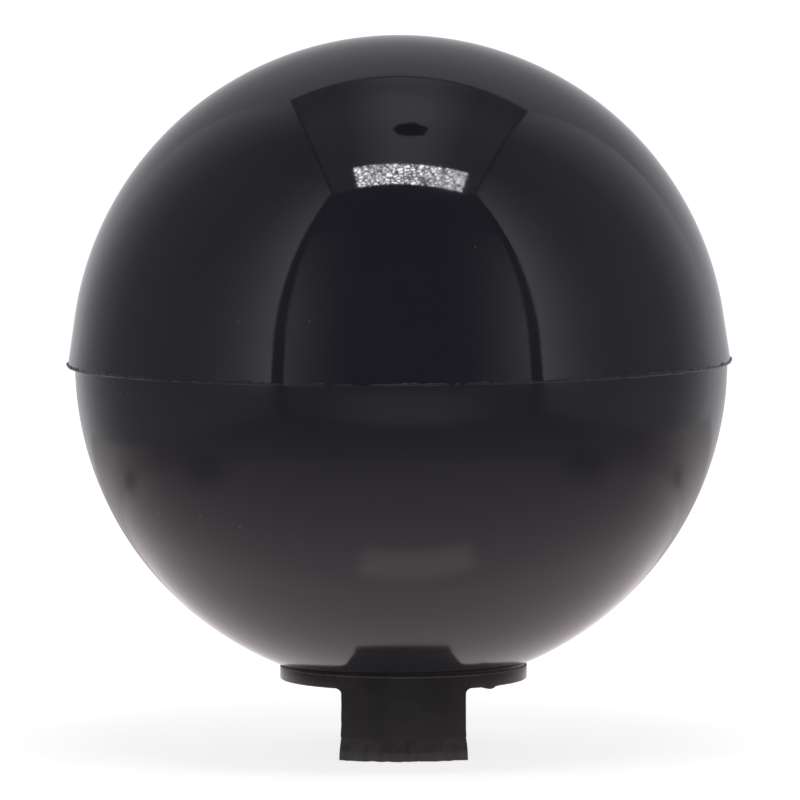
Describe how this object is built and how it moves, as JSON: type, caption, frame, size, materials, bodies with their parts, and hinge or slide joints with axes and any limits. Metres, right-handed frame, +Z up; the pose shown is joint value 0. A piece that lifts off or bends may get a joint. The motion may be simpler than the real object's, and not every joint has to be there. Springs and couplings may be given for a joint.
{
  "type": "float valve ball float",
  "caption": "Round two-shell plastic ball float with a welded seam, standing on a snap-in foot of one disc and two sprung catch tongues.",
  "frame": {"origin": "middle of the foot's base, on the axis of the ball, where the float stands", "axes": "+Z up along the ball's axis from the foot to the top; -Y towards the front tongue, +X to its right"},
  "size_m": [0.116, 0.116, 0.1248],
  "materials": {
    "upper_plastic": "high gloss moulded black polypropylene",
    "lower_plastic": "satin gloss moulded black polypropylene",
    "weld_plastic": "melted and cooled black polypropylene, uneven",
    "foot_plastic": "fine satin moulded black polypropylene"
  },
  "bodies": {
    "float_body": {"upper_shell": "upper_plastic", "lower_shell": "lower_plastic", "outer_weld_bead": "weld_plastic", "inner_weld_bead": "weld_plastic", "foot_disc": "foot_plastic"},
    "front_catch": {"front_tongue": "foot_plastic"},
    "rear_catch": {"rear_tongue": "foot_plastic"}
  },
  "joints": [
    {"name": "front_tongue_flex", "type": "hinge", "parent": "float_body", "child": "front_catch", "pos_m": [0, -0.02005, 0.01227], "axis": [1, 0, 0], "range_deg": [0, 7], "stiffness_Nm_per_rad": 2},
    {"name": "rear_tongue_flex", "type": "hinge", "parent": "float_body", "child": "rear_catch", "pos_m": [0, 0.02005, 0.01227], "axis": [-1, 0, 0], "range_deg": [0, 7], "stiffness_Nm_per_rad": 2}
  ]
}
